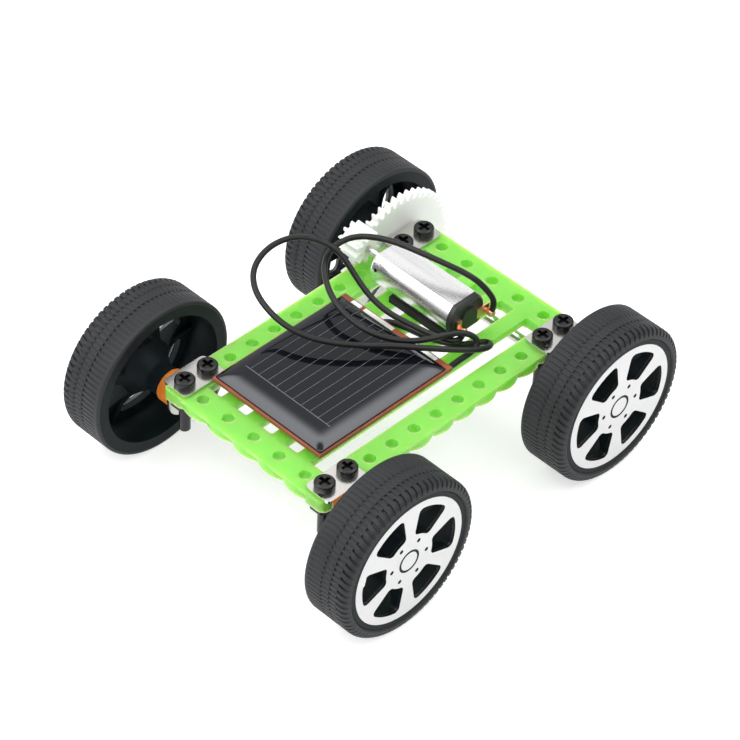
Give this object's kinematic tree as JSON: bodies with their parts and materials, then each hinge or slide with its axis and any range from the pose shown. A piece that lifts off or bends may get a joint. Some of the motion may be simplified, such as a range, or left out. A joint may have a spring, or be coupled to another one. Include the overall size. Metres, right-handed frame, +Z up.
{
  "type": "solar robot kit",
  "caption": "Small solar-driven car kit: slotted plastic plate on four rubber-tyred wheels, with a flat motor driving one axle through a gear pair and a panel wired to it by two leads.",
  "frame": {"origin": "on the ground under the middle of the car, half way between the axles and the wheel faces", "axes": "+X to the car's left side, -Y to its front (the panel end), +Z up"},
  "size_m": [0.0654, 0.079, 0.0319],
  "materials": {
    "deck_plastic": "lime green translucent moulding",
    "nickel_plate": "nickel plated sheet and shafts",
    "black_screw": "black oxide machine screws",
    "nut_steel": "plain nuts",
    "tyre_rubber": "matt black rubber",
    "hub_plastic": "black moulded",
    "wheel_silver": "satin silver coating",
    "bush_plastic": "orange-brown translucent",
    "gear_nylon": "white nylon",
    "pinion_nylon": "translucent white nylon",
    "motor_steel": "drawn steel can",
    "bell_plastic": "black moulded",
    "copper_tag": "copper tags with tin solder",
    "magnet_dark": "dark magnet",
    "bearing_bronze": "porous bronze",
    "core_steel": "laminated steel",
    "winding_copper": "enamelled copper wire",
    "foam_black": "black foam tape",
    "board_red": "reddish brown board",
    "cell_dark": "dark grey cell with finger lines",
    "resin_clear": "glossy dark casting",
    "tin_ribbon": "tinned strip",
    "solder_tin": "solder",
    "lead_pvc": "black PVC"
  },
  "bodies": {
    "chassis": {"chassis_plate": "deck_plastic", "bracket_front_left": "nickel_plate", "bracket_front_right": "nickel_plate", "bracket_rear_left": "nickel_plate", "bracket_rear_right": "nickel_plate", "bracket_screws": "black_screw", "bracket_nuts": "nut_steel", "motor_can": "motor_steel", "motor_end_bell": "bell_plastic", "motor_terminals": "copper_tag", "motor_brushes": "copper_tag", "motor_magnets": "magnet_dark", "motor_front_bushing": "bearing_bronze", "motor_rear_bushing": "bearing_bronze", "motor_pad": "foam_black", "panel_tape": "foam_black", "panel_board": "board_red", "solar_cell": "cell_dark", "panel_resin": "resin_clear", "panel_ribbons": "tin_ribbon", "panel_solder_joints": "solder_tin", "lead_positive": "lead_pvc", "lead_negative": "lead_pvc"},
    "front_axle": {"front_axle_shaft": "nickel_plate", "bush_front_left": "bush_plastic", "bush_front_right": "bush_plastic", "tyre_front_right": "tyre_rubber", "hub_front_right": "hub_plastic", "wheel_disc_front_right": "wheel_silver", "tyre_front_left": "tyre_rubber", "hub_front_left": "hub_plastic", "wheel_disc_front_left": "wheel_silver"},
    "rear_axle": {"rear_axle_shaft": "nickel_plate", "bush_rear_left": "bush_plastic", "drive_gear": "gear_nylon", "tyre_rear_right": "tyre_rubber", "hub_rear_right": "hub_plastic", "wheel_disc_rear_right": "wheel_silver", "tyre_rear_left": "tyre_rubber", "hub_rear_left": "hub_plastic", "wheel_disc_rear_left": "wheel_silver"},
    "motor_rotor": {"motor_shaft": "nickel_plate", "pinion": "pinion_nylon", "armature_core": "core_steel", "armature_windings": "winding_copper", "commutator": "copper_tag"}
  },
  "joints": [
    {"name": "front_axle_spin", "type": "hinge", "parent": "chassis", "child": "front_axle", "pos_m": [0, -0.025, 0.0145], "axis": [1, 0, 0], "continuous": true},
    {"name": "rear_axle_spin", "type": "hinge", "parent": "chassis", "child": "rear_axle", "pos_m": [0, 0.025, 0.0145], "axis": [1, 0, 0], "continuous": true},
    {"name": "motor_spin", "type": "hinge", "parent": "chassis", "child": "motor_rotor", "pos_m": [0, 0.01441, 0.0244], "axis": [1, 0, 0], "continuous": true}
  ],
  "couplings": [
    {"joint": "motor_spin", "follows": "rear_axle_spin", "ratio": -4.8}
  ]
}
